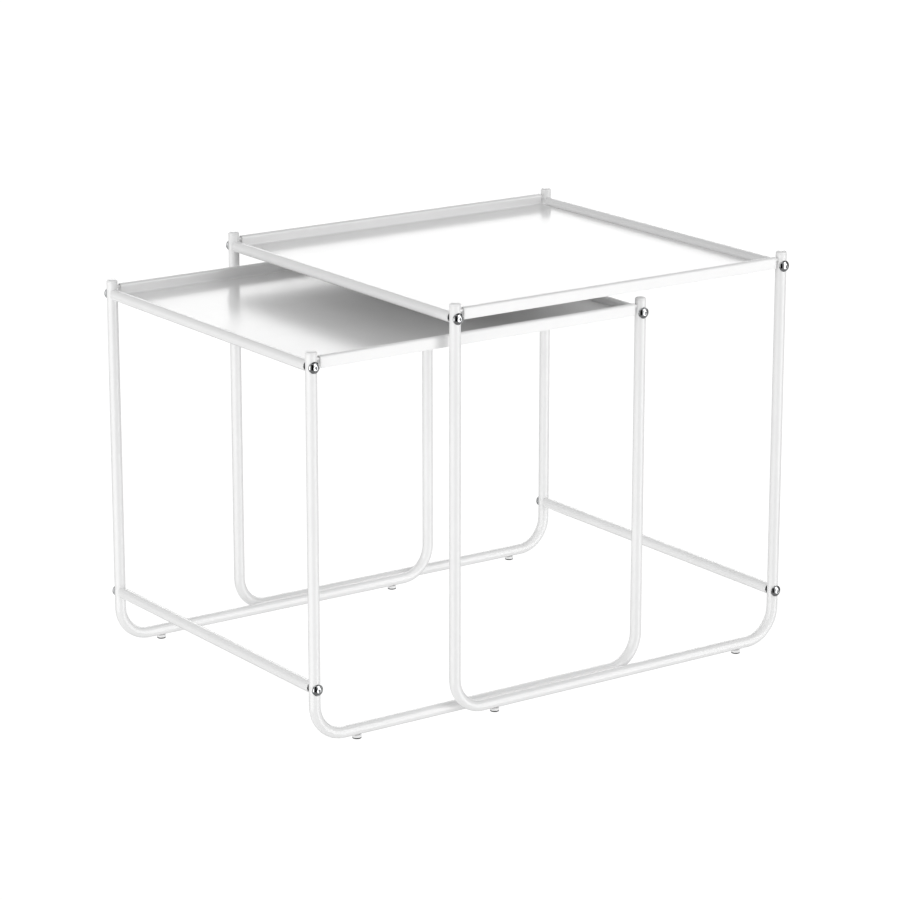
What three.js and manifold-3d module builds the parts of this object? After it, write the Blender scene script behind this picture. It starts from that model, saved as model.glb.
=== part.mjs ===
// Nesting tables: a large and a small tray table in white tube and sheet steel.
// The small table slides along X under the large one, between its two frames.
// Millimetres, +Z up, +X along the frames, +Y from the front frame to the back one.
// The origin is on the floor, in the middle of the pair as it stands.
import * as THREE from 'three';
import { mergeVertices } from 'three/addons/utils/BufferGeometryUtils.js';
import Module from 'manifold-3d';

const wasm = await Module();
wasm.setup();

// The two tables. Length and width run between the centre lines of the posts.
const LARGE = { name: 'large', length: 463, width: 457.4, barHeight: 463.9, stretcherSide: 1 };
const SMALL = { name: 'small', length: 445.4, width: 425, barHeight: 431.4, stretcherSide: -1 };
const PULLED_OUT = 185.1; // from the small table's middle to the large table's middle

// Tube frames
const TUBE_RADIUS = 6.35;
const TUBE_WALL = 1;
const TUBE_BORE = TUBE_RADIUS - TUBE_WALL;
const BEND_RADIUS = 38; // of the tube's centre line
const BEND_STEPS = 6;
const FOOT_HEIGHT = 4.25; // of the tube's underside above the floor
const STRETCHER_HEIGHT = 68.5;
const POST_ABOVE_BAR = 17.4; // from the side bar's centre line to the top of the cap
const GAP = 0.3; // left between touching pieces
const SIDES = 12; // round pieces are polygons with this many sides
const THROUGH = 4 * TUBE_RADIUS; // length of a cutter that passes right through a tube
const MERGE_DISTANCE = 1e-4; // between corners that are one and the same

// Tray: a sheet with its front and back edges folded over a rod
const SHEET = 1;
const ROD_RADIUS = 2;
const ROD_CLEARANCE = 0.6; // between the rod and the sheet that is folded over it
const ROD_ABOVE_BAR = 7.7;
const FOLD_RADIUS = ROD_RADIUS + ROD_CLEARANCE + SHEET; // outside of the fold
const FOLD_END = 9.8; // from the post's centre line to the end of the fold
const FOLD_SKIRT = -2.3; // lower edge of the fold's outer face, from the bar's centre line
const FLOOR_TOP = -1.7; // upper face of the tray's floor, from the bar's centre line
const FLOOR_BEND = 2.7; // inside radius between the floor and the fold
const FLOOR_EDGE = 6.5; // from the side bar's centre line to the floor's edge
const LIP_DEPTH = 4; // the floor's side edges turn down by this much
const LIP_BEND = 2; // of the middle of the sheet
const LIP_SETBACK = 8; // the lips start this far from the frame's centre line
const LIP_STRIP = 13; // width of the floor's strip that carries a lip
const SHEET_BEND_STEPS = 8;

// Bolts that hold the bars to the posts, and the inserts they screw into
const BOLT_RADIUS = 3;
const BOLT_CHAMFER = 0.6; // at the bolt's tip
const HEAD_RADIUS = 6.6;
const HEAD_START = 4.9; // from the post's centre line to the back of the head's rim
const HEAD_RIM = 6.7; // and to the front of the rim
const HEAD_TOP = 9.3; // and to the top of the dome
const HEAD_SPHERE = 8.84; // radius of the dome
const HEAD_FLAT = 2.5; // radius of the flat round the socket
const HEAD_STEPS = 4;
const SOCKET_SIDES = 6;
const SOCKET_RADIUS = 2.3;
const SOCKET_DEPTH = 1.6;
const BOLT_REACH = 20; // from the post's centre line to the bolt's tip
const INSERT_RECESS = 4; // from the bar's end to the insert
const INSERT_LENGTH = 12;

// Caps and feet
const CAP_THICKNESS = 3;
const CAP_FLAT = 3; // radius of the cap's flat top
const CAP_DOME = 2.5; // height of the rounding between the flat and the cap's side
const CAP_STEPS = 3;
const CAP_STEM = 6;
const FOOT_RADIUS = 5.15;
const FOOT_STEM_RADIUS = 2;
const FOOT_STEM = 8; // height of the stem's top above the floor
const FOOT_CHAMFER = 0.5;
const FOOT_INSET = 55; // from the post's centre line

const PLUG_RADIUS = TUBE_BORE - GAP; // of whatever is pushed into a tube
const BOLT_HOLE = BOLT_RADIUS + GAP;
const RAIL_HEIGHT = FOOT_HEIGHT + TUBE_RADIUS;

const MATERIALS = {
  frame: () => new THREE.MeshStandardMaterial({ color: 0xf1f1ef, roughness: 0.38, metalness: 0 }),
  tray: () => new THREE.MeshStandardMaterial({ color: 0xf4f4f3, roughness: 0.28, metalness: 0 }),
  chrome: () => new THREE.MeshStandardMaterial({ color: 0xd0d2d4, roughness: 0.1, metalness: 1 }),
  zinc: () => new THREE.MeshStandardMaterial({ color: 0xa9abab, roughness: 0.4, metalness: 1 }),
  cap: () => new THREE.MeshStandardMaterial({ color: 0xeeeeec, roughness: 0.45, metalness: 0 }),
  foot: () => new THREE.MeshStandardMaterial({ color: 0xe2e2df, roughness: 0.5, metalness: 0 }),
};

const X_AXIS = new THREE.Vector3(1, 0, 0);
const Y_AXIS = new THREE.Vector3(0, 1, 0);
const Z_AXIS = new THREE.Vector3(0, 0, 1);

// ---- Solids and booleans

function toSolid(geometry) {
  const bare = geometry.clone();
  bare.deleteAttribute('normal');
  bare.deleteAttribute('uv');
  const merged = mergeVertices(bare, MERGE_DISTANCE);
  return new wasm.Manifold(new wasm.Mesh({
    numProp: 3,
    vertProperties: new Float32Array(merged.attributes.position.array),
    triVerts: new Uint32Array(merged.index.array),
  }));
}

function toGeometry(solid) {
  const mesh = solid.getMesh();
  const geometry = new THREE.BufferGeometry();
  geometry.setAttribute('position', new THREE.BufferAttribute(mesh.vertProperties, 3));
  geometry.setIndex(new THREE.BufferAttribute(mesh.triVerts, 1));
  geometry.computeVertexNormals();
  return geometry;
}

function cutAll(solid, cutters) {
  return cutters.reduce((rest, cutter) => rest.subtract(cutter), solid);
}

// A cylinder about X, Y or Z with its middle at the given point
function cylinder(radius, length, axis, [x, y, z]) {
  const geometry = new THREE.CylinderGeometry(radius, radius, length, SIDES);
  if (axis === 'x') geometry.rotateZ(Math.PI / 2);
  if (axis === 'z') geometry.rotateX(Math.PI / 2);
  return toSolid(geometry.translate(x, y, z));
}

function circlePoints(radius) {
  return Array.from({ length: SIDES }, (_, i) => {
    const angle = (2 * Math.PI * i) / SIDES;
    return new THREE.Vector2(radius * Math.cos(angle), radius * Math.sin(angle));
  });
}

function ringShape(outer, inner) {
  const shape = new THREE.Shape(circlePoints(outer));
  shape.holes.push(new THREE.Path(circlePoints(inner)));
  return shape;
}

function lathe(points) {
  const profile = points.map(([radius, height]) => new THREE.Vector2(radius, height));
  return new THREE.LatheGeometry(profile, SIDES);
}

// ---- Frames

// The centre line of a U of tube: down one post, along the rail and up the other post.
// Its stations are the ends of the straight runs and equal steps round each bend.
class UPath extends THREE.Curve {
  constructor(length, top) {
    super();
    this.stations = [];
    for (const side of [-1, 1]) {
      const bend = [];
      for (let i = 0; i <= BEND_STEPS; i++) {
        const angle = (Math.PI / 2) * (i / BEND_STEPS);
        bend.push(new THREE.Vector3(
          side * (length / 2 - BEND_RADIUS * (1 - Math.cos(angle))), 0,
          RAIL_HEIGHT + BEND_RADIUS * (1 - Math.sin(angle)),
        ));
      }
      const post = [new THREE.Vector3((side * length) / 2, 0, top), ...bend];
      this.stations.push(...(side < 0 ? post : post.reverse()));
    }
  }

  getPointAt(u) {
    const last = this.stations.length - 1;
    return this.stations[Math.min(Math.round(u * last), last)].clone();
  }

  getTangentAt(u) {
    const last = this.stations.length - 1;
    const i = Math.min(Math.round(u * last), last);
    if (i === 0 || i === last) return new THREE.Vector3(0, 0, i === 0 ? -1 : 1);
    const before = this.stations[i].clone().sub(this.stations[i - 1]).normalize();
    const after = this.stations[i + 1].clone().sub(this.stations[i]).normalize();
    return before.add(after).normalize();
  }
}

function frameGeometry(table) {
  const path = new UPath(table.length, table.barHeight + POST_ABOVE_BAR - CAP_THICKNESS - GAP);
  const tube = new THREE.ExtrudeGeometry(ringShape(TUBE_RADIUS, TUBE_BORE), {
    steps: path.stations.length - 1,
    extrudePath: path,
  });
  const boltHole = (side, height) =>
    cylinder(BOLT_HOLE, THROUGH, 'y', [(side * table.length) / 2, 0, height]);
  const footHole = (side) =>
    cylinder(FOOT_STEM_RADIUS + GAP, RAIL_HEIGHT, 'z', [side * footX(table), 0, RAIL_HEIGHT / 2]);
  return toGeometry(cutAll(toSolid(tube), [
    boltHole(-1, table.barHeight),
    boltHole(1, table.barHeight),
    boltHole(table.stretcherSide, STRETCHER_HEIGHT),
    footHole(-1),
    footHole(1),
  ]));
}

function footX(table) {
  return table.length / 2 - FOOT_INSET;
}

// The rod runs between the two posts of a frame, with its ends shaped to the posts.
function rodGeometry(table) {
  const rod = cylinder(ROD_RADIUS, table.length - TUBE_RADIUS, 'x', [0, 0, 0]);
  const posts = [-1, 1].map((side) =>
    cylinder(TUBE_RADIUS + GAP, THROUGH, 'z', [(side * table.length) / 2, 0, 0]));
  return toGeometry(cutAll(rod, posts));
}

// A side bar or the stretcher: a straight tube between a front and a back post.
function barGeometry(table) {
  const length = table.width - 2 * (TUBE_RADIUS + GAP);
  const geometry = new THREE.ExtrudeGeometry(ringShape(TUBE_RADIUS, TUBE_BORE), {
    depth: length,
    bevelEnabled: false,
  });
  return geometry.translate(0, 0, -length / 2).rotateX(Math.PI / 2);
}

// ---- Tray

// The outline of a sheet of even thickness bent along a centre line.
function sheetShape(centreLine) {
  const isNew = (point, i, all) => i === 0 || point.distanceTo(all[i - 1]) > MERGE_DISTANCE;
  const points = centreLine.getPoints(SHEET_BEND_STEPS).filter(isNew);
  const offset = (side) => points.map((point, i) => {
    const before = points[Math.max(i - 1, 0)];
    const after = points[Math.min(i + 1, points.length - 1)];
    const along = after.clone().sub(before).normalize();
    return new THREE.Vector2(
      point.x - (side * along.y * SHEET) / 2,
      point.y + (side * along.x * SHEET) / 2,
    );
  });
  return new THREE.Shape([...offset(1), ...offset(-1).reverse()]);
}

// The folded edges and the floor between them, as one strip seen along X.
function trayChannel(table) {
  const half = table.width / 2;
  const fold = FOLD_RADIUS - SHEET / 2;
  const bend = FLOOR_BEND + SHEET / 2;
  const floor = FLOOR_TOP - SHEET / 2;
  const line = new THREE.Path();
  line.moveTo(-half - fold, FOLD_SKIRT);
  line.lineTo(-half - fold, ROD_ABOVE_BAR);
  line.absarc(-half, ROD_ABOVE_BAR, fold, Math.PI, 0, true);
  line.absarc(-half + fold + bend, floor + bend, bend, Math.PI, 1.5 * Math.PI, false);
  line.absarc(half - fold - bend, floor + bend, bend, 1.5 * Math.PI, 2 * Math.PI, false);
  line.absarc(half, ROD_ABOVE_BAR, fold, Math.PI, 0, true);
  line.lineTo(half + fold, FOLD_SKIRT);
  const length = table.length - 2 * FOLD_END;
  const strip = new THREE.ExtrudeGeometry(sheetShape(line), { depth: length, bevelEnabled: false });
  // The shape's own x and y become the part's Y and Z.
  strip.applyMatrix4(new THREE.Matrix4().makeBasis(Y_AXIS, Z_AXIS, X_AXIS));
  return toSolid(strip.translate(-length / 2, 0, 0));
}

// The floor's strip beside one side bar, with its edge turned down.
function trayLip(table, side) {
  const edge = table.length / 2 - FLOOR_EDGE - SHEET / 2;
  const floor = FLOOR_TOP - SHEET / 2;
  const line = new THREE.Path();
  line.moveTo(edge - LIP_STRIP, floor);
  line.lineTo(edge - LIP_BEND, floor);
  line.absarc(edge - LIP_BEND, floor - LIP_BEND, LIP_BEND, Math.PI / 2, 0, true);
  line.lineTo(edge, FLOOR_TOP - LIP_DEPTH);
  const length = table.width - 2 * LIP_SETBACK;
  const lip = new THREE.ExtrudeGeometry(sheetShape(line), { depth: length, bevelEnabled: false });
  lip.rotateX(Math.PI / 2).translate(0, length / 2, 0);
  if (side < 0) lip.rotateZ(Math.PI);
  return toSolid(lip);
}

function trayGeometry(table) {
  return toGeometry(trayChannel(table).add(trayLip(table, -1)).add(trayLip(table, 1)));
}

// ---- Fasteners, caps and feet. Each stands on its own axis, local +Y.

// The head's back is hollowed to the round of the post, and its dome has a hexagon socket.
function boltGeometry() {
  const head = toSolid(lathe([
    [0, HEAD_START],
    [HEAD_RADIUS, HEAD_START],
    ...headDome(),
    [0, HEAD_TOP],
  ]));
  const saddle = cylinder(TUBE_RADIUS + GAP, THROUGH, 'z', [0, 0, 0]);
  const socket = toSolid(new THREE.CylinderGeometry(
    SOCKET_RADIUS, SOCKET_RADIUS, 2 * SOCKET_DEPTH, SOCKET_SIDES,
  ).translate(0, HEAD_TOP, 0));
  const shank = toSolid(lathe([
    [0, -BOLT_REACH],
    [BOLT_RADIUS - BOLT_CHAMFER, -BOLT_REACH],
    [BOLT_RADIUS, BOLT_CHAMFER - BOLT_REACH],
    [BOLT_RADIUS, HEAD_RIM],
    [0, HEAD_RIM],
  ]));
  return toGeometry(head.subtract(saddle).add(shank).subtract(socket));
}

// Points from the rim of the head up its dome to the flat round the socket.
function headDome() {
  const edge = Math.asin(HEAD_RADIUS / HEAD_SPHERE);
  const flat = Math.asin(HEAD_FLAT / HEAD_SPHERE);
  const centre = HEAD_TOP - HEAD_SPHERE * Math.cos(flat);
  const points = [[HEAD_RADIUS, HEAD_RIM]];
  for (let i = 1; i <= HEAD_STEPS; i++) {
    const angle = edge + (flat - edge) * (i / HEAD_STEPS);
    points.push([HEAD_SPHERE * Math.sin(angle), centre + HEAD_SPHERE * Math.cos(angle)]);
  }
  return points;
}

function insertGeometry() {
  return lathe([
    [BOLT_HOLE, 0],
    [PLUG_RADIUS, 0],
    [PLUG_RADIUS, INSERT_LENGTH],
    [BOLT_HOLE, INSERT_LENGTH],
    [BOLT_HOLE, 0],
  ]);
}

function capGeometry() {
  const rounding = [];
  for (let i = 0; i <= CAP_STEPS; i++) {
    const angle = (Math.PI / 2) * (i / CAP_STEPS);
    rounding.push([
      CAP_FLAT + (TUBE_RADIUS - CAP_FLAT) * Math.cos(angle),
      -CAP_DOME * (1 - Math.sin(angle)),
    ]);
  }
  return lathe([
    [0, -CAP_THICKNESS - CAP_STEM],
    [PLUG_RADIUS, -CAP_THICKNESS - CAP_STEM],
    [PLUG_RADIUS, -CAP_THICKNESS],
    [TUBE_RADIUS, -CAP_THICKNESS],
    ...rounding,
    [0, 0],
  ]);
}

function footGeometry() {
  return lathe([
    [0, 0],
    [FOOT_RADIUS - FOOT_CHAMFER, 0],
    [FOOT_RADIUS, FOOT_CHAMFER],
    [FOOT_RADIUS, FOOT_HEIGHT - GAP],
    [FOOT_STEM_RADIUS, FOOT_HEIGHT - GAP],
    [FOOT_STEM_RADIUS, FOOT_STEM],
    [0, FOOT_STEM],
  ]);
}

// ---- Assembly

function piece(name, geometry, material, [x, y, z], turn = 0) {
  const mesh = new THREE.Mesh(geometry, MATERIALS[material]());
  mesh.name = name;
  mesh.position.set(x, y, z);
  mesh.rotation.x = turn;
  return mesh;
}

const ENDS = [['front', -1], ['back', 1]];
const SIDES_OF_TABLE = [['left', -1], ['right', 1]];
const UPRIGHT = Math.PI / 2; // turns local +Y to +Z

function buildTable(table) {
  const group = new THREE.Group();
  const add = (name, ...rest) => group.add(piece(`${table.name}_${name}`, ...rest));
  const frame = frameGeometry(table);
  const rod = rodGeometry(table);
  const bar = barGeometry(table);
  const bolt = boltGeometry();
  const insert = insertGeometry();
  const cap = capGeometry();
  const foot = footGeometry();

  // A bar along Y with a bolt and a threaded insert at each end
  const addBar = (name, x, z) => {
    add(name, bar, 'frame', [x, 0, z]);
    for (const [end, sign] of ENDS) {
      const insertY = table.width / 2 - TUBE_RADIUS - GAP - INSERT_RECESS;
      const turn = sign < 0 ? Math.PI : 0;
      add(`${name}_bolt_${end}`, bolt, 'chrome', [x, (sign * table.width) / 2, z], turn);
      add(`${name}_insert_${end}`, insert, 'zinc', [x, sign * insertY, z], Math.PI - turn);
    }
  };

  for (const [end, sign] of ENDS) {
    const y = (sign * table.width) / 2;
    add(`frame_${end}`, frame, 'frame', [0, y, 0]);
    add(`rod_${end}`, rod, 'frame', [0, y, table.barHeight + ROD_ABOVE_BAR]);
    for (const [side, hand] of SIDES_OF_TABLE) {
      const capAt = [(hand * table.length) / 2, y, table.barHeight + POST_ABOVE_BAR];
      add(`cap_${end}_${side}`, cap, 'cap', capAt, UPRIGHT);
      add(`foot_${end}_${side}`, foot, 'foot', [hand * footX(table), y, 0], UPRIGHT);
    }
  }
  for (const [side, hand] of SIDES_OF_TABLE) {
    addBar(`bar_${side}`, (hand * table.length) / 2, table.barHeight);
  }
  addBar('stretcher', (table.stretcherSide * table.length) / 2, STRETCHER_HEIGHT);
  add('tray', trayGeometry(table), 'tray', [0, 0, table.barHeight]);
  return group;
}

const tables = new THREE.Group();
const large = buildTable(LARGE);
const small = buildTable(SMALL);
large.position.x = (PULLED_OUT + (SMALL.length - LARGE.length) / 2) / 2;
small.position.x = large.position.x - PULLED_OUT;
tables.add(large, small);

export default tables;
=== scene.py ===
"""The looks of a pair of white nesting tables, a large and a small tray table in tube and sheet steel.

Every piece is built in metres from the boxes of the CAD nodes, in the same frame:
+X along the frames, +Y from the front frame to the back one, +Z up, the floor at Z = 0.
"""

import math

import bmesh
import bpy
from mathutils import Matrix, Vector


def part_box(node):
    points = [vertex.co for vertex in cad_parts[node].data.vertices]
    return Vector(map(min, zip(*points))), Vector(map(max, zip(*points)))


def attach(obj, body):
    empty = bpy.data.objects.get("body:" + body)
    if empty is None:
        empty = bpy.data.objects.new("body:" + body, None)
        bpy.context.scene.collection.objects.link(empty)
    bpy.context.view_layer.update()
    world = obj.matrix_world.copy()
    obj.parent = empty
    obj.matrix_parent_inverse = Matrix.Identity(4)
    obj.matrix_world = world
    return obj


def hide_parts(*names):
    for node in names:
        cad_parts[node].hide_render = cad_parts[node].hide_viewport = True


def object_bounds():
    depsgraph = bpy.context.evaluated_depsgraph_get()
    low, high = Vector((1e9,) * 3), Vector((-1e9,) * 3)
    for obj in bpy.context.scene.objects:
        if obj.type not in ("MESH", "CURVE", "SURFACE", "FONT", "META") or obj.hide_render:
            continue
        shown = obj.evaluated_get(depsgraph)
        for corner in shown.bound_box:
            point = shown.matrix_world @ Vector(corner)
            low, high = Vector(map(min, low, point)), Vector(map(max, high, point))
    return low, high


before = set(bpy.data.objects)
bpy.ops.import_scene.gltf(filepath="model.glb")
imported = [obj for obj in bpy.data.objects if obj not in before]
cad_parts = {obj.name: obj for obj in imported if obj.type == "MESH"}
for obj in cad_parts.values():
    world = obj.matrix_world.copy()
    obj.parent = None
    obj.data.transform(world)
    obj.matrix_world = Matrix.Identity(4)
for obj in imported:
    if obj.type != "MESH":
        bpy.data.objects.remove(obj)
cad_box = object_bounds()

# ---- Sizes that the boxes of the CAD nodes don't give, in metres
TOUCH = 0.00005  # between pieces that rest on each other
THROUGH = 4  # length of a cutter across a tube, in tube radii
ROUND_SIDES = 64
SHARP_ANGLE = math.radians(32)

TUBE_WALL = 0.001
TUBE_EDGE = 0.00015  # rounding of a cut tube's edges
BEND_RADIUS = 0.038  # of the centre line
BEND_STEPS = 20
BAR_PARTS = 24  # lengths of mesh along a straight bar
HOLE_MARGIN = 1.5  # of the rings of mesh on both sides of a bolt hole, in hole radii

SHEET = 0.001
SHEET_EDGE = 0.0002  # rounding of the sheet's cut edges
SHEET_EDGE_STEPS = 2
SHEET_EDGE_ANGLE = math.radians(60)  # the least turn that counts as an edge
ROD_RADIUS = 0.002
FOLD_RADIUS = 0.0036  # outside of the fold round the rod
FOLD_END = 0.0098  # from the post's centre line to the end of the fold
FOLD_SKIRT = 0.0023  # lower edge of the fold's outer face, below the bar's centre line
FOLD_STEPS = 16
FLOOR_BEND = 0.0027  # inside radius between the floor and the fold
FLOOR_BEND_STEPS = 6
FLOOR_EDGE = 0.0065  # from the side bar's centre line to the floor's edge
FLOOR_RISE = 0.0006  # of the floor towards the side bars
RISE_WIDTH = 0.02
RISE_STEPS = 8
LIP_DEPTH = 0.004
LIP_BEND = 0.002  # of the middle of the sheet
LIP_BEND_STEPS = 8
LIP_SETBACK = 0.008  # the lips start this far from the frame's centre line

BOLT_RADIUS = 0.003
BOLT_HOLE = 0.0033
BOLT_REACH = 0.02  # from the post's centre line to the bolt's tip
HEAD_RADIUS = 0.0066
HEAD_BACK = 0.0049  # from the post's centre line to the back of the head's rim
HEAD_RIM = 0.0067  # and to the front of the rim
HEAD_TOP = 0.0093  # and to the top of the dome
HEAD_FLAT = 0.0025  # radius of the flat round the socket
HEAD_SPHERE = 0.00884  # radius of the dome
HEAD_STEPS = 10
SOCKET_SIDES = 6
SOCKET_RADIUS = 0.0023  # out to the corners
SOCKET_DEPTH = 0.0016
SOCKET_CONE = 0.0006  # depth of the drill point below the socket
SOCKET_POINT = 0.25  # width of the drill point's tip, as a part of the socket's
THREAD_TURNS = 11
THREAD_PITCH = 0.001
THREAD_DEPTH = 0.0005

INSERT_RIBS = 5
RIB_DEPTH = 0.0003
RIB_SLOPE = 0.25  # of each rib's length
CAP_THICKNESS = 0.003
CAP_FLAT = 0.003  # radius of the flat top
CAP_DOME = 0.0025  # height of the rounding from the flat to the tube's outside
CAP_STEPS = 12
FOOT_STEM_RADIUS = 0.002
FOOT_ROUNDING = 0.0006
FOOT_STEPS = 4
CONTACT_SHADE_HEIGHT = 0.0015  # height of the near-black band painted round the bottom of the glides as contact shade


def middle(node):
    """The middle of a CAD node's box."""
    low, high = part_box(node)
    return (low + high) / 2


class Table:
    """Where one table's tubes are, read from the CAD nodes."""

    def __init__(self, name):
        self.name = name
        self.body = f"{name}_table"
        low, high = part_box(f"{name}_frame_front")
        self.radius = (high.y - low.y) / 2
        self.left = low.x + self.radius
        self.right = high.x - self.radius
        self.front = middle(f"{name}_frame_front").y
        self.back = middle(f"{name}_frame_back").y
        self.rail = low.z + self.radius
        self.bar = middle(f"{name}_bar_left").z
        self.stretcher = middle(f"{name}_stretcher")
        self.rod = middle(f"{name}_rod_front").z
        self.cap_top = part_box(f"{name}_cap_front_left")[1].z
        self.foot_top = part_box(f"{name}_foot_front_left")[1].z


# ---- Meshes

def quarter(steps):
    """Sine and cosine from 0 to a right angle."""
    angles = [math.pi / 2 * i / steps for i in range(steps + 1)]
    return [(math.sin(a), math.cos(a)) for a in angles]


def ring(radius, height, sides=ROUND_SIDES):
    """Points round local Z."""
    angles = [2 * math.pi * i / sides for i in range(sides)]
    return [Vector((radius * math.cos(a), radius * math.sin(a), height)) for a in angles]


def loft(rings, hollow=False):
    """A closed mesh through rings of points. A hollow one joins its last ring to its first."""
    bm = bmesh.new()
    rows = [[bm.verts.new(point) for point in points] for points in rings]
    pairs = list(zip(rows, rows[1:]))
    if hollow:
        pairs.append((rows[-1], rows[0]))
    else:
        bm.faces.new(reversed(rows[0]))
        bm.faces.new(rows[-1])
    for lower, upper in pairs:
        for i, vertex in enumerate(lower):
            after = (i + 1) % len(lower)
            bm.faces.new((vertex, lower[after], upper[after], upper[i]))
    bmesh.ops.recalc_face_normals(bm, faces=bm.faces)
    return bm


def lathe(profile, hollow=False):
    """A turned body round local Z from (radius, height) pairs."""
    return loft([ring(radius, height) for radius, height in profile], hollow)


def make_object(name, bm):
    mesh = bpy.data.meshes.new(name)
    bm.to_mesh(mesh)
    bm.free()
    shape = bpy.data.objects.new(name, mesh)
    bpy.context.scene.collection.objects.link(shape)
    return shape


def apply_modifiers(shape):
    """Keeps the evaluated mesh as the object's own."""
    graph = bpy.context.evaluated_depsgraph_get()
    mesh = bpy.data.meshes.new_from_object(shape.evaluated_get(graph))
    shape.modifiers.clear()
    shape.data = mesh


def cut(shape, *cutters):
    """Takes the cutters' meshes out of a shape."""
    for bm in cutters:
        cutter = make_object("cutter", bm)
        modifier = shape.modifiers.new("cut", "BOOLEAN")
        modifier.operation = "DIFFERENCE"
        modifier.solver = "EXACT"
        modifier.object = cutter
        apply_modifiers(shape)
        bpy.data.objects.remove(cutter)


def cylinder(radius, length, axis, centre):
    """A cutter of that length along an axis, with its middle at centre."""
    bm = lathe([(radius, -length / 2), (radius, length / 2)])
    turn = Vector((0, 0, 1)).rotation_difference(Vector(axis)).to_matrix().to_4x4()
    bm.transform(Matrix.Translation(centre) @ turn)
    return bm


def place(shape, node, table, slot):
    """Makes a shape stand for a CAD node, move with its table and take its finish."""
    shape.data.shade_smooth()
    shape.data.set_sharp_from_angle(angle=SHARP_ANGLE)
    shape.data.materials.clear()
    shape.data.materials.append(MATERIALS[slot])
    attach(shape, table.body)
    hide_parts(node)


# ---- Materials. Texture points are in metres on the piece itself.

NOISE_RANGE = (0.3, 0.7)  # where nearly all values of a noise texture lie
COLOUR_A, COLOUR_B, COLOUR_OUT = 6, 7, 2  # sockets of a mix node that mixes colours
SHADER_A, SHADER_B = 1, 2  # and of one that mixes shaders
SOFT, MEDIUM, FINE, FINEST = 1, 2, 3, 4  # detail of a noise texture

COAT_CLOUDS = 0.06
COAT_SMEARS = 0.012  # of gloss
COAT_WAVES = 0.05
WAVE_HEIGHT = 4  # in heights of the orange peel
ORANGE_PEEL = 0.0016
METAL_CLOUDS = 0.004
METAL_SMEARS = 0.002
METAL_MARKS = 0.0006
MARK_DEPTH = 0.000004
GRAIN = 0.0004  # of moulded plastic
GRAIN_DEPTH = 0.000006


def grey(level):
    return (level, level, level)


def new_material(name):
    """A material with its node tree and shader."""
    material = bpy.data.materials.new(name)
    material.use_nodes = True
    tree = material.node_tree
    return material, tree, tree.nodes["Principled BSDF"]


def noise(tree, size, detail=MEDIUM):
    """Noise with features of about that size."""
    point = tree.nodes.new("ShaderNodeTexCoord")
    texture = tree.nodes.new("ShaderNodeTexNoise")
    texture.inputs["Scale"].default_value = 1 / size
    texture.inputs["Detail"].default_value = detail
    tree.links.new(point.outputs["Object"], texture.inputs["Vector"])
    return texture.outputs["Fac"]


def between(tree, factor, low, high):
    """A value that goes from low to high as noise goes over its usual range."""
    remap = tree.nodes.new("ShaderNodeMapRange")
    remap.inputs["From Min"].default_value, remap.inputs["From Max"].default_value = NOISE_RANGE
    remap.inputs["To Min"].default_value = low
    remap.inputs["To Max"].default_value = high
    tree.links.new(factor, remap.inputs["Value"])
    return remap.outputs["Result"]


def tint(tree, factor, dark, light):
    """A colour between two."""
    mix = tree.nodes.new("ShaderNodeMix")
    mix.data_type = "RGBA"
    mix.inputs[COLOUR_A].default_value = (*dark, 1)
    mix.inputs[COLOUR_B].default_value = (*light, 1)
    tree.links.new(between(tree, factor, 0, 1), mix.inputs["Factor"])
    return mix.outputs[COLOUR_OUT]


def bump(tree, height, distance, under=None):
    """Relief of that height in metres, on top of another one if it is given."""
    node = tree.nodes.new("ShaderNodeBump")
    node.inputs["Strength"].default_value = 1
    node.inputs["Distance"].default_value = distance
    tree.links.new(height, node.inputs["Height"])
    if under:
        tree.links.new(under, node.inputs["Normal"])
    return node.outputs["Normal"]


def coated_steel(name, dark, light, gloss, peel_height):
    """White coating with a fine orange peel and slightly uneven gloss."""
    material, tree, shader = new_material(name)
    link = tree.links.new
    link(tint(tree, noise(tree, COAT_CLOUDS), dark, light), shader.inputs["Base Color"])
    link(between(tree, noise(tree, COAT_SMEARS, FINEST), *gloss), shader.inputs["Roughness"])
    peel = bump(tree, noise(tree, ORANGE_PEEL), peel_height)
    waves = bump(tree, noise(tree, COAT_WAVES, SOFT), WAVE_HEIGHT * peel_height, peel)
    link(waves, shader.inputs["Normal"])
    return material


def bright_metal(name, dark, light, gloss):
    """Plated steel with faint cloudiness and fine marks."""
    material, tree, shader = new_material(name)
    link = tree.links.new
    shader.inputs["Metallic"].default_value = 1
    link(tint(tree, noise(tree, METAL_CLOUDS), dark, light), shader.inputs["Base Color"])
    link(between(tree, noise(tree, METAL_SMEARS, FINEST), *gloss), shader.inputs["Roughness"])
    link(bump(tree, noise(tree, METAL_MARKS), MARK_DEPTH), shader.inputs["Normal"])
    return material


def moulded_plastic(name, dark, light, gloss, clouds, smears):
    """White plastic with a fine moulded grain. Clouds and smears are the sizes of its spots."""
    material, tree, shader = new_material(name)
    link = tree.links.new
    link(tint(tree, noise(tree, clouds), dark, light), shader.inputs["Base Color"])
    link(between(tree, noise(tree, smears, FINE), *gloss), shader.inputs["Roughness"])
    link(bump(tree, noise(tree, GRAIN), GRAIN_DEPTH), shader.inputs["Normal"])
    return material


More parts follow.
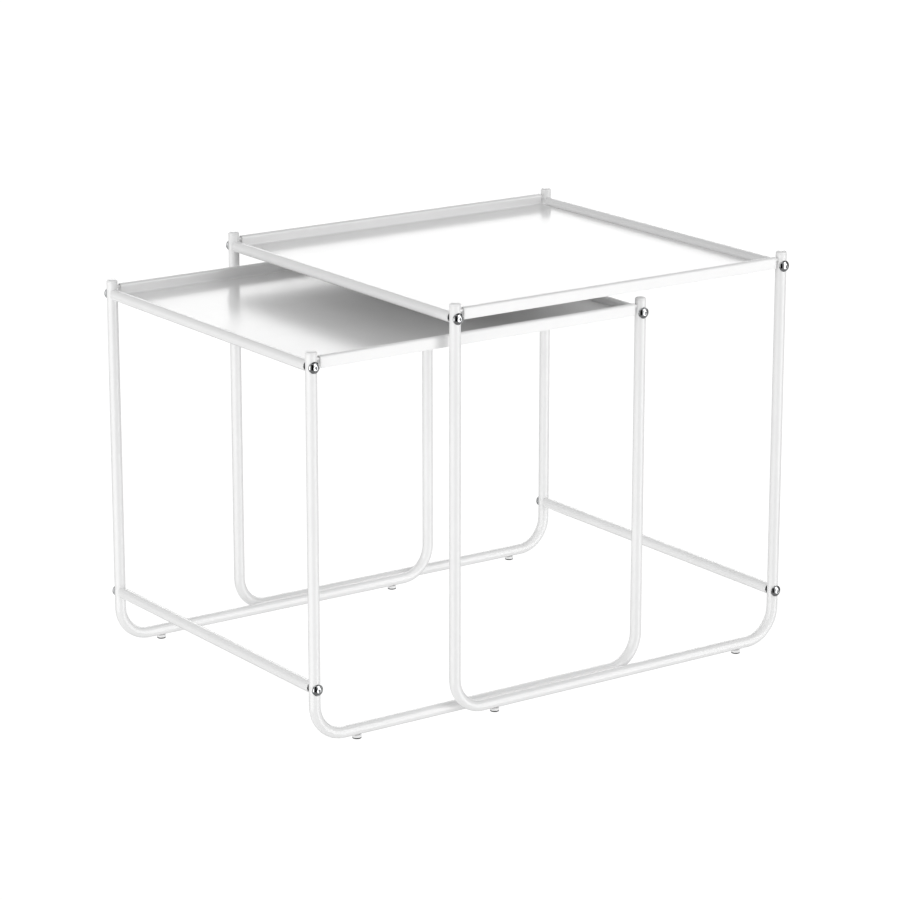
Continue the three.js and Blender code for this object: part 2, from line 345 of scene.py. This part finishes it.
def with_painted_contact_shade(material, colour):
    """Paints the lowest part of a glide's material near black: painted contact shade where the glide
    meets the floor.
    """
    tree = material.node_tree
    link = tree.links.new
    base = tree.nodes["Principled BSDF"].inputs["Base Color"]
    point = tree.nodes.new("ShaderNodeTexCoord")
    split = tree.nodes.new("ShaderNodeSeparateXYZ")
    link(point.outputs["Object"], split.inputs["Vector"])
    above = tree.nodes.new("ShaderNodeMapRange")
    above.inputs["From Min"].default_value = CONTACT_SHADE_HEIGHT
    above.inputs["From Max"].default_value = CONTACT_SHADE_HEIGHT + TOUCH
    link(split.outputs["Z"], above.inputs["Value"])
    mix = tree.nodes.new("ShaderNodeMix")
    mix.data_type = "RGBA"
    mix.inputs[COLOUR_A].default_value = (*colour, 1)
    link(base.links[0].from_socket, mix.inputs[COLOUR_B])
    link(above.outputs["Result"], mix.inputs["Factor"])
    link(mix.outputs[COLOUR_OUT], base)
    return material


MATERIALS = {
    "frame_paint": coated_steel("white_tube", grey(0.83), grey(0.85), (0.14, 0.18), 0.000001),
    "tray_paint": coated_steel("white_sheet", grey(0.84), grey(0.86), (0.16, 0.19), 0.0000006),
    "chrome": bright_metal("polished_chrome", (0.6, 0.61, 0.62), (0.68, 0.69, 0.7), (0.05, 0.09)),
    "zinc": bright_metal("plated_zinc", (0.38, 0.38, 0.37), (0.52, 0.52, 0.5), (0.35, 0.5)),
    "cap_plastic": moulded_plastic("white_cap", grey(0.82), grey(0.85), (0.2, 0.25), 0.01, 0.003),
    "foot_plastic": with_painted_contact_shade(
        moulded_plastic("white_glide", grey(0.8), grey(0.85), (0.35, 0.45), 0.003, 0.002),
        # near black: painted contact shade along the bottom of the glides
        grey(0.02),
    ),
}

# ---- Tube frames

def frame_stations(table):
    """Centre points and directions along a frame: down the left post, the rail, up the right one."""
    top = table.cap_top - CAP_THICKNESS - TOUCH
    heights = [top, top - TUBE_EDGE]
    for hole in (table.bar, table.stretcher.z):
        heights += [hole + HOLE_MARGIN * BOLT_HOLE, hole - HOLE_MARGIN * BOLT_HOLE]
    left = [(Vector((table.left, 0, z)), Vector((0, 0, -1))) for z in heights]
    for sine, cosine in quarter(BEND_STEPS):
        x = table.left + BEND_RADIUS * (1 - cosine)
        z = table.rail + BEND_RADIUS * (1 - sine)
        left.append((Vector((x, 0, z)), Vector((sine, 0, -cosine))))
    right = [
        (Vector((table.left + table.right - point.x, 0, point.z)), Vector((along.x, 0, -along.z)))
        for point, along in reversed(left)
    ]
    return left + right


def section_ring(centre, along, radius):
    """A circle about a frame's centre line, square to it."""
    across = along.cross(Vector((0, 1, 0)))
    return [centre + point.x * across + Vector((0, point.y, 0)) for point in ring(radius, 0)]


def frame_tube(table, end):
    """A U-shaped tube, drilled for the bolts and from below for the feet."""
    stations = frame_stations(table)
    edges = [TUBE_EDGE if i in (0, len(stations) - 1) else 0 for i in range(len(stations))]
    bore = table.radius - TUBE_WALL
    outside = [section_ring(*at, table.radius - edge) for at, edge in zip(stations, edges)]
    inside = [section_ring(*at, bore + edge) for at, edge in zip(stations, edges)]
    node = f"{table.name}_frame_{end}"
    tube = make_object(f"{node}_tube", loft(outside + inside[::-1], hollow=True))
    across = THROUGH * table.radius
    holes = [(table.left, table.bar), (table.right, table.bar), (table.stretcher.x, table.stretcher.z)]
    cut(tube, *[cylinder(BOLT_HOLE, across, (0, 1, 0), (x, 0, z)) for x, z in holes])
    for side in ("left", "right"):
        foot = middle(f"{table.name}_foot_{end}_{side}")
        underside = (foot.x, 0, table.rail - table.radius)
        cut(tube, cylinder(FOOT_STEM_RADIUS + TOUCH, table.radius, (0, 0, 1), underside))
    tube.location.y = middle(node).y
    place(tube, node, table, "frame_paint")


def between_ends(corner):
    """Rings along a straight tube from a corner to the one opposite, so its faces stay short."""
    radius, height = corner
    return [(radius, height * (1 - 2 * i / BAR_PARTS)) for i in range(1, BAR_PARTS)]


def bar_tube(table, name):
    """A straight tube between a front and a back post, cut square at its ends."""
    node = f"{table.name}_{name}"
    end = (table.back - table.front) / 2 - table.radius - TOUCH
    bore = table.radius - TUBE_WALL
    profile = [
        (bore, end - TUBE_EDGE),
        (bore + TUBE_EDGE, end),
        (table.radius - TUBE_EDGE, end),
        (table.radius, end - TUBE_EDGE),
    ]
    inner, outer = profile[0], profile[-1]
    far = [(radius, -height) for radius, height in reversed(profile)]
    profile += between_ends(outer) + far + between_ends((inner[0], -inner[1]))
    bar = make_object(f"{node}_tube", lathe(profile, hollow=True))
    bar.matrix_world = Matrix.Translation(middle(node)) @ Matrix.Rotation(math.pi / 2, 4, "X")
    place(bar, node, table, "frame_paint")


def edge_rod(table, end):
    """The rod under a tray's folded edge, with its ends shaped to the round of the posts."""
    node = f"{table.name}_rod_{end}"
    centre = middle(node)
    reach = table.radius + TOUCH
    rings = []
    for post, inwards in ((table.left, 1), (table.right, -1)):
        rings.append([
            Vector((post + inwards * math.sqrt(reach**2 - point.x**2), point.x, point.y))
            for point in ring(ROD_RADIUS, 0)
        ])
    rod = make_object(f"{node}_bar", loft(rings))
    rod.location = (0, centre.y, centre.z)
    place(rod, node, table, "frame_paint")


# ---- Trays

def tray_section(table, floor):
    """(y, z) along the middle of the sheet, from the front skirt to where the lips start."""
    fold = FOLD_RADIUS - SHEET / 2
    bend = FLOOR_BEND + SHEET / 2
    points = [(table.front - fold, table.bar - FOLD_SKIRT)]
    for i in range(FOLD_STEPS + 1):
        angle = math.pi * (1 - i / FOLD_STEPS)
        points.append((table.front + fold * math.cos(angle), table.rod + fold * math.sin(angle)))
    for sine, cosine in quarter(FLOOR_BEND_STEPS):
        points.append((table.front + fold + bend * (1 - cosine), floor + bend * (1 - sine)))
    points.append((table.front + LIP_SETBACK, floor))
    return points


def add_lip(bm, row, post, side, floor):
    """The floor's strip beside a side bar, turned down at its edge."""
    edge = post - side * (FLOOR_EDGE + SHEET / 2)
    top = row[0].co.z
    profile = [
        (edge - side * LIP_BEND * (1 - sine), top - LIP_BEND * (1 - cosine))
        for sine, cosine in quarter(LIP_BEND_STEPS)
    ]
    profile.append((edge, floor + SHEET / 2 - LIP_DEPTH))
    for x, z in profile:
        after = [bm.verts.new((x, vertex.co.y, z)) for vertex in row]
        bm.faces.new((*row, *reversed(after)))
        row = after


def dished_columns(table, floor):
    """(x, floor height) from side to side. The floor rises a little towards both bars."""
    start = table.left + FOLD_END
    steps = [i / RISE_STEPS for i in range(RISE_STEPS + 1)]
    left = [(start + RISE_WIDTH * step, floor + FLOOR_RISE * (1 - step) ** 2) for step in steps]
    return left + [(table.left + table.right - x, z) for x, z in reversed(left)]


def tray_sheet(table):
    """One sheet: a floor with lips at its sides and edges folded over the rods."""
    node = f"{table.name}_tray"
    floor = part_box(node)[0].z + LIP_DEPTH - SHEET / 2
    bm = bmesh.new()
    grid = []
    for x, height in dished_columns(table, floor):
        half = tray_section(table, height)
        section = half + [(table.front + table.back - y, z) for y, z in reversed(half)]
        grid.append([bm.verts.new((x, y, z)) for y, z in section])
    for near, far in zip(grid, grid[1:]):
        for i in range(len(near) - 1):
            bm.faces.new((near[i], near[i + 1], far[i + 1], far[i]))
    last = len(half) - 1
    for row, post, side in ((grid[0], table.left, -1), (grid[-1], table.right, 1)):
        add_lip(bm, row[last:last + 2], post, side, floor)
    bmesh.ops.recalc_face_normals(bm, faces=bm.faces)
    tray = make_object(f"{node}_sheet", bm)
    thicken(tray)
    place(tray, node, table, "tray_paint")


def thicken(shape):
    """Gives a sheet its thickness and breaks its cut edges."""
    solid = shape.modifiers.new("thickness", "SOLIDIFY")
    solid.thickness = SHEET
    solid.offset = 0
    solid.use_even_offset = True
    bevel = shape.modifiers.new("edges", "BEVEL")
    bevel.width = SHEET_EDGE
    bevel.segments = SHEET_EDGE_STEPS
    bevel.limit_method = "ANGLE"
    bevel.angle_limit = SHEET_EDGE_ANGLE
    apply_modifiers(shape)


# ---- Bolts, inserts, caps and feet. Each is turned about local Z, outwards or up.

def bolt_shape(table):
    """A button-head bolt with the back of its head hollowed to the round of the post."""
    thread = []
    for i in range(THREAD_TURNS):
        height = -BOLT_REACH + i * THREAD_PITCH
        thread += [(BOLT_RADIUS - THREAD_DEPTH, height), (BOLT_RADIUS, height + THREAD_PITCH / 2)]
    shank = [*thread, (BOLT_RADIUS, (HEAD_BACK + HEAD_RIM) / 2)]
    edge = math.asin(HEAD_RADIUS / HEAD_SPHERE)
    flat = math.asin(HEAD_FLAT / HEAD_SPHERE)
    slopes = [edge + (flat - edge) * i / HEAD_STEPS for i in range(HEAD_STEPS + 1)]
    below = HEAD_TOP - HEAD_SPHERE * math.cos(flat)
    dome = [(HEAD_SPHERE * math.sin(a), below + HEAD_SPHERE * math.cos(a)) for a in slopes]
    back = [(HEAD_RADIUS - TUBE_EDGE, HEAD_BACK), (HEAD_RADIUS, HEAD_BACK + TUBE_EDGE)]
    bolt = make_object("bolt", lathe(back + dome))
    # The post stands along the bolt's local Y.
    post = cylinder(table.radius + TOUCH, THROUGH * table.radius, (0, 1, 0), (0, 0, 0))
    cut(bolt, post, hexagon_socket())
    return join(bolt, make_object("shank", lathe(shank)))


def join(shape, other):
    """Adds another shape's mesh to a shape's."""
    modifier = shape.modifiers.new("join", "BOOLEAN")
    modifier.operation = "UNION"
    modifier.solver = "EXACT"
    modifier.object = other
    apply_modifiers(shape)
    bpy.data.objects.remove(other)
    return shape


def hexagon_socket():
    """A cutter for the head's socket, with a drill point at its bottom."""
    bottom = HEAD_TOP - SOCKET_DEPTH
    return loft([
        ring(SOCKET_RADIUS * SOCKET_POINT, bottom - SOCKET_CONE, SOCKET_SIDES),
        ring(SOCKET_RADIUS, bottom, SOCKET_SIDES),
        ring(SOCKET_RADIUS, HEAD_TOP + SOCKET_DEPTH, SOCKET_SIDES),
    ])


def insert_shape(table):
    """A ribbed sleeve that is pressed into a bar's end."""
    low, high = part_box(f"{table.name}_bar_left_insert_front")
    radius = (high.x - low.x) / 2
    length = high.y - low.y
    rib = length / INSERT_RIBS
    outside = []
    for i in range(INSERT_RIBS):
        start = i * rib - length / 2
        outside += [
            (radius - RIB_DEPTH, start),
            (radius, start + rib * RIB_SLOPE),
            (radius, start + rib * (1 - RIB_SLOPE)),
            (radius - RIB_DEPTH, start + rib - TOUCH),
        ]
    profile = [(BOLT_HOLE, -length / 2), *outside, (BOLT_HOLE, length / 2)]
    return make_object("insert", lathe(profile, hollow=True))


def cap_shape(table):
    """A plug as wide as the tube, rounded up to a small flat top."""
    low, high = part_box(f"{table.name}_cap_front_left")
    stem = table.radius - TUBE_WALL - TOUCH
    edge = [
        (CAP_FLAT + (table.radius - CAP_FLAT) * cosine, -CAP_DOME * (1 - sine))
        for sine, cosine in quarter(CAP_STEPS)
    ]
    profile = [
        (stem - TUBE_EDGE, low.z - high.z),
        (stem, low.z - high.z + TUBE_EDGE),
        (stem, -CAP_THICKNESS),
        (table.radius - TUBE_EDGE, -CAP_THICKNESS),
        (table.radius, -CAP_THICKNESS + TUBE_EDGE),
        *edge,
    ]
    return make_object("cap", lathe(profile))


def foot_shape(table):
    """A glide with a rounded lower edge on a stem that goes into the rail."""
    low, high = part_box(f"{table.name}_foot_front_left")
    radius = (high.x - low.x) / 2
    top = table.rail - table.radius - TOUCH
    lower = [
        (radius - FOOT_ROUNDING * (1 - sine), FOOT_ROUNDING * (1 - cosine))
        for sine, cosine in quarter(FOOT_STEPS)
    ]
    upper = [
        (radius - FOOT_ROUNDING * (1 - cosine), top - FOOT_ROUNDING * (1 - sine))
        for sine, cosine in quarter(FOOT_STEPS)
    ]
    profile = [*lower, *upper, (FOOT_STEM_RADIUS, top), (FOOT_STEM_RADIUS, table.foot_top)]
    return make_object("foot", lathe(profile))


def copies(pattern, table, nodes, slot, turn):
    """Puts a copy of a pattern at each node, with its axis turned by turn(node)."""
    for node, origin in nodes:
        shape = bpy.data.objects.new(f"{node}_piece", pattern.data.copy())
        bpy.context.scene.collection.objects.link(shape)
        shape.matrix_world = Matrix.Translation(origin) @ turn(node)
        place(shape, node, table, slot)
    bpy.data.objects.remove(pattern)


def upright(node):
    """Local Z up at every node."""
    return Matrix.Identity(4)


def outwards(node):
    """Local Z to the front or to the back, and local Y upright."""
    return Matrix.Rotation(math.pi / 2 if "front" in node else -math.pi / 2, 4, "X")


BARS = ("bar_left", "bar_right", "stretcher")
ENDS = ("front", "back")
CORNERS = [f"{end}_{side}" for end in ENDS for side in ("left", "right")]


def build_table(table):
    """All the pieces of one table."""
    name = table.name
    for end in ENDS:
        frame_tube(table, end)
        edge_rod(table, end)
    for bar in BARS:
        bar_tube(table, bar)
    tray_sheet(table)

    bolts = []
    inserts = []
    for bar in BARS:
        for end in ENDS:
            centre = middle(f"{name}_{bar}")
            post = (centre.x, table.front if end == "front" else table.back, centre.z)
            bolts.append((f"{name}_{bar}_bolt_{end}", post))
            inserts.append((f"{name}_{bar}_insert_{end}", middle(f"{name}_{bar}_insert_{end}")))
    copies(bolt_shape(table), table, bolts, "chrome", outwards)
    copies(insert_shape(table), table, inserts, "zinc", outwards)

    caps = []
    feet = []
    for corner in CORNERS:
        cap = f"{name}_cap_{corner}"
        foot = f"{name}_foot_{corner}"
        caps.append((cap, (middle(cap).x, middle(cap).y, table.cap_top)))
        feet.append((foot, (middle(foot).x, middle(foot).y, 0)))
    copies(cap_shape(table), table, caps, "cap_plastic", upright)
    copies(foot_shape(table), table, feet, "foot_plastic", upright)


# ---- Studio: floor, light and camera

CAMERA_AT = Vector((-2.2528, -3.2195, 1.3293))
CAMERA_HEADING = math.radians(-35.11)
CAMERA_DOWN = math.radians(15.49)
CAMERA_LENS = 138.25
SENSOR = 36

PAPER_WHITE = 1.05  # brightness of the floor and the background in the picture
ROOM_LIGHT = 0.35  # and of the room that the object sees
GROUND_SIZE = 60
GROUND_LIGHT = 0.9
LAMP_POWER = math.pi  # watts per square metre that make a lamp as bright as a card of one
TOP_FLAG_HEIGHT = 2.7
LOW_CARD_HEIGHT = -1.0


def white_to_camera(tree, shader, output):
    """Plain white in the picture, and the given shader for the object's light and reflections."""
    white = tree.nodes.new("ShaderNodeEmission")
    white.inputs["Strength"].default_value = PAPER_WHITE
    seen = tree.nodes.new("ShaderNodeLightPath")
    mix = tree.nodes.new("ShaderNodeMixShader")
    tree.links.new(seen.outputs["Is Camera Ray"], mix.inputs["Fac"])
    tree.links.new(shader, mix.inputs[SHADER_A])
    tree.links.new(white.outputs["Emission"], mix.inputs[SHADER_B])
    tree.links.new(mix.outputs["Shader"], output)


def even_light(name, brightness):
    """A material that sends out even light and reflects none. At zero it is black."""
    material, _, shader = new_material(name)
    shader.inputs["Base Color"].default_value = (0, 0, 0, 1)
    shader.inputs["Specular IOR Level"].default_value = 0
    shader.inputs["Emission Color"].default_value = (1, 1, 1, 1)
    shader.inputs["Emission Strength"].default_value = brightness
    material.cycles.emission_sampling = "NONE"  # seen only by rays that hit it: less noise
    return material


def sheet_of_paper(name, size, material):
    """A flat sheet that faces its own Z."""
    bm = bmesh.new()
    bmesh.ops.create_grid(bm, x_segments=1, y_segments=1, size=0.5)
    bmesh.ops.scale(bm, vec=(*size, 1), verts=bm.verts)
    paper = make_object(name, bm)
    paper.data.materials.append(material)
    return paper


def studio_floor():
    """A pale floor. It lights the pieces from below, and reflections pass through it."""
    material = even_light("studio_floor", GROUND_LIGHT)
    nodes = material.node_tree.nodes
    glow = nodes["Principled BSDF"].outputs["BSDF"]
    white_to_camera(material.node_tree, glow, nodes["Material Output"].inputs["Surface"])
    floor = sheet_of_paper("floor", (GROUND_SIZE, GROUND_SIZE), material)
    floor.visible_glossy = False


def studio_world():
    """Even light from all round."""
    world = bpy.data.worlds.new("studio")
    world.use_nodes = True
    tree = world.node_tree
    background = tree.nodes["Background"]
    background.inputs["Color"].default_value = (1, 1, 1, 1)
    background.inputs["Strength"].default_value = ROOM_LIGHT
    white_to_camera(tree, background.outputs["Background"], tree.nodes["World Output"].inputs["Surface"])
    bpy.context.scene.world = world


def around(thing, heading, distance, height):
    """Stands a lamp or a card upright, facing the object. Headings go from -Y towards +X, in degrees."""
    heading = math.radians(heading)
    away = Vector((math.sin(heading), -math.cos(heading), 0))
    thing.location = (cad_box[0] + cad_box[1]) / 2 + away * distance
    thing.location.z = height
    thing.rotation_euler = away.to_track_quat("Z", "Y").to_euler()


def softbox(name, heading, distance, width, span, brightness):
    """An upright lamp of even brightness between two heights, which the camera doesn't see.

    Below the floor a card stands in for it: upright faces that the camera looks down on reflect
    what is below the horizon.
    """
    bottom, top = span
    light = bpy.data.lights.new(name, "AREA")
    light.shape = "RECTANGLE"
    light.size, light.size_y = width, top - max(bottom, 0)
    light.energy = brightness * LAMP_POWER * light.size * light.size_y
    lamp = bpy.data.objects.new(name, light)
    bpy.context.scene.collection.objects.link(lamp)
    lamp.visible_camera = False
    around(lamp, heading, distance, (max(bottom, 0) + top) / 2)
    if bottom < 0:
        around(card(f"{name}_low", (width, -bottom), brightness), heading, distance, bottom / 2)


def card(name, size, brightness):
    """A card that only reflections see."""
    paper = sheet_of_paper(name, size, even_light(f"{name}_paper", brightness))
    paper.visible_camera = False
    paper.visible_diffuse = False
    paper.visible_shadow = False
    return paper


def flag(name, size):
    """A black card."""
    return card(name, size, brightness=0)


def studio_light():
    """Three large lamps, and cards that give the tubes and the bolt heads their edges."""
    studio_world()
    softbox("front_light", heading=32, distance=6.4, width=3.6, span=(-4.7, 6.3), brightness=3.12)
    softbox("left_light", heading=-84, distance=5.6, width=6.8, span=(-2.9, 3.7), brightness=2.42)
    softbox("back_light", heading=145, distance=5.9, width=6.8, span=(0.2, 2.8), brightness=1.92)

    high = card("high_card", size=(10, 2.8), brightness=1)
    around(high, heading=158, distance=5.9, height=4.2)
    low = card("low_card", size=(3.6, 3.6), brightness=0.22)
    low.location.z = LOW_CARD_HEIGHT

    around(flag("camera_flag", size=(1.25, 4)), heading=-25, distance=2.5, height=0.6)
    around(flag("right_flag", size=(2.2, 3)), heading=98, distance=2.5, height=0.9)
    around(flag("edge_flag", size=(10, 1.4)), heading=-170, distance=5, height=-1.6)
    flag("top_flag", size=(3.4, 3.4)).location.z = TOP_FLAG_HEIGHT


def studio_camera():
    """The camera, level and looking slightly down at the front left corner."""
    data = bpy.data.cameras.new("camera")
    data.lens = CAMERA_LENS
    data.sensor_width = SENSOR
    camera = bpy.data.objects.new("camera", data)
    bpy.context.scene.collection.objects.link(camera)
    camera.location = CAMERA_AT
    camera.rotation_euler = (math.pi / 2 - CAMERA_DOWN, 0, CAMERA_HEADING)
    bpy.context.scene.camera = camera


for table_name in ("large", "small"):
    build_table(Table(table_name))

studio_floor()
studio_light()
studio_camera()
bpy.context.scene.view_settings.view_transform = "Standard"
